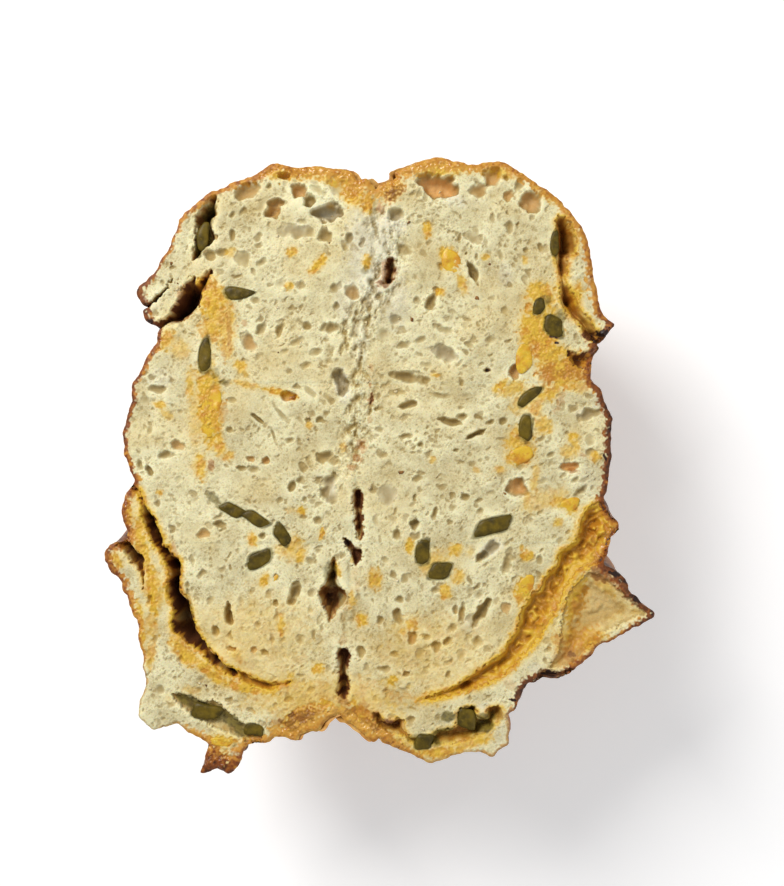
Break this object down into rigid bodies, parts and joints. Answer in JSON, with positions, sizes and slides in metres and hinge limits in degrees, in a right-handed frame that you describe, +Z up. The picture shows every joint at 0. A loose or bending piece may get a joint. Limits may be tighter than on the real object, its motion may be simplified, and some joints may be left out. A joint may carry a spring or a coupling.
{
  "type": "sourdough loaf",
  "caption": "Round crusty sourdough loaf with melted cheese and green chilli pieces, cut from the crown nearly to its base crust and opened flat with both crumb faces up.",
  "frame": {"origin": "centre of the footprint, on the surface that the loaf stands on", "axes": "+Z up, out of the two cut faces; +Y along the hinge where the halves join, towards the rim that is at the top of the picture; +X to the right half"},
  "size_m": [0.2198, 0.248, 0.1143],
  "materials": {
    "loaf": "open cream crumb inside a thin, blistered, golden to dark brown crust",
    "jalapeno": "moist, glossy, olive green cooked chilli",
    "cheese": "melted, glossy, yellow to orange cheddar"
  },
  "bodies": {
    "root": {"loaf": "loaf", "jalapeno_01": "jalapeno", "jalapeno_02": "jalapeno", "jalapeno_03": "jalapeno", "jalapeno_04": "jalapeno", "jalapeno_05": "jalapeno", "jalapeno_06": "jalapeno", "jalapeno_07": "jalapeno", "jalapeno_08": "jalapeno", "jalapeno_09": "jalapeno", "jalapeno_10": "jalapeno", "jalapeno_11": "jalapeno", "jalapeno_12": "jalapeno", "jalapeno_13": "jalapeno", "jalapeno_14": "jalapeno", "jalapeno_15": "jalapeno", "jalapeno_16": "jalapeno", "jalapeno_17": "jalapeno", "jalapeno_18": "jalapeno", "jalapeno_19": "jalapeno", "cheese_01": "cheese", "cheese_02": "cheese", "cheese_03": "cheese", "cheese_04": "cheese", "cheese_05": "cheese", "cheese_06": "cheese", "cheese_07": "cheese", "cheese_08": "cheese"}
  },
  "joints": []
}
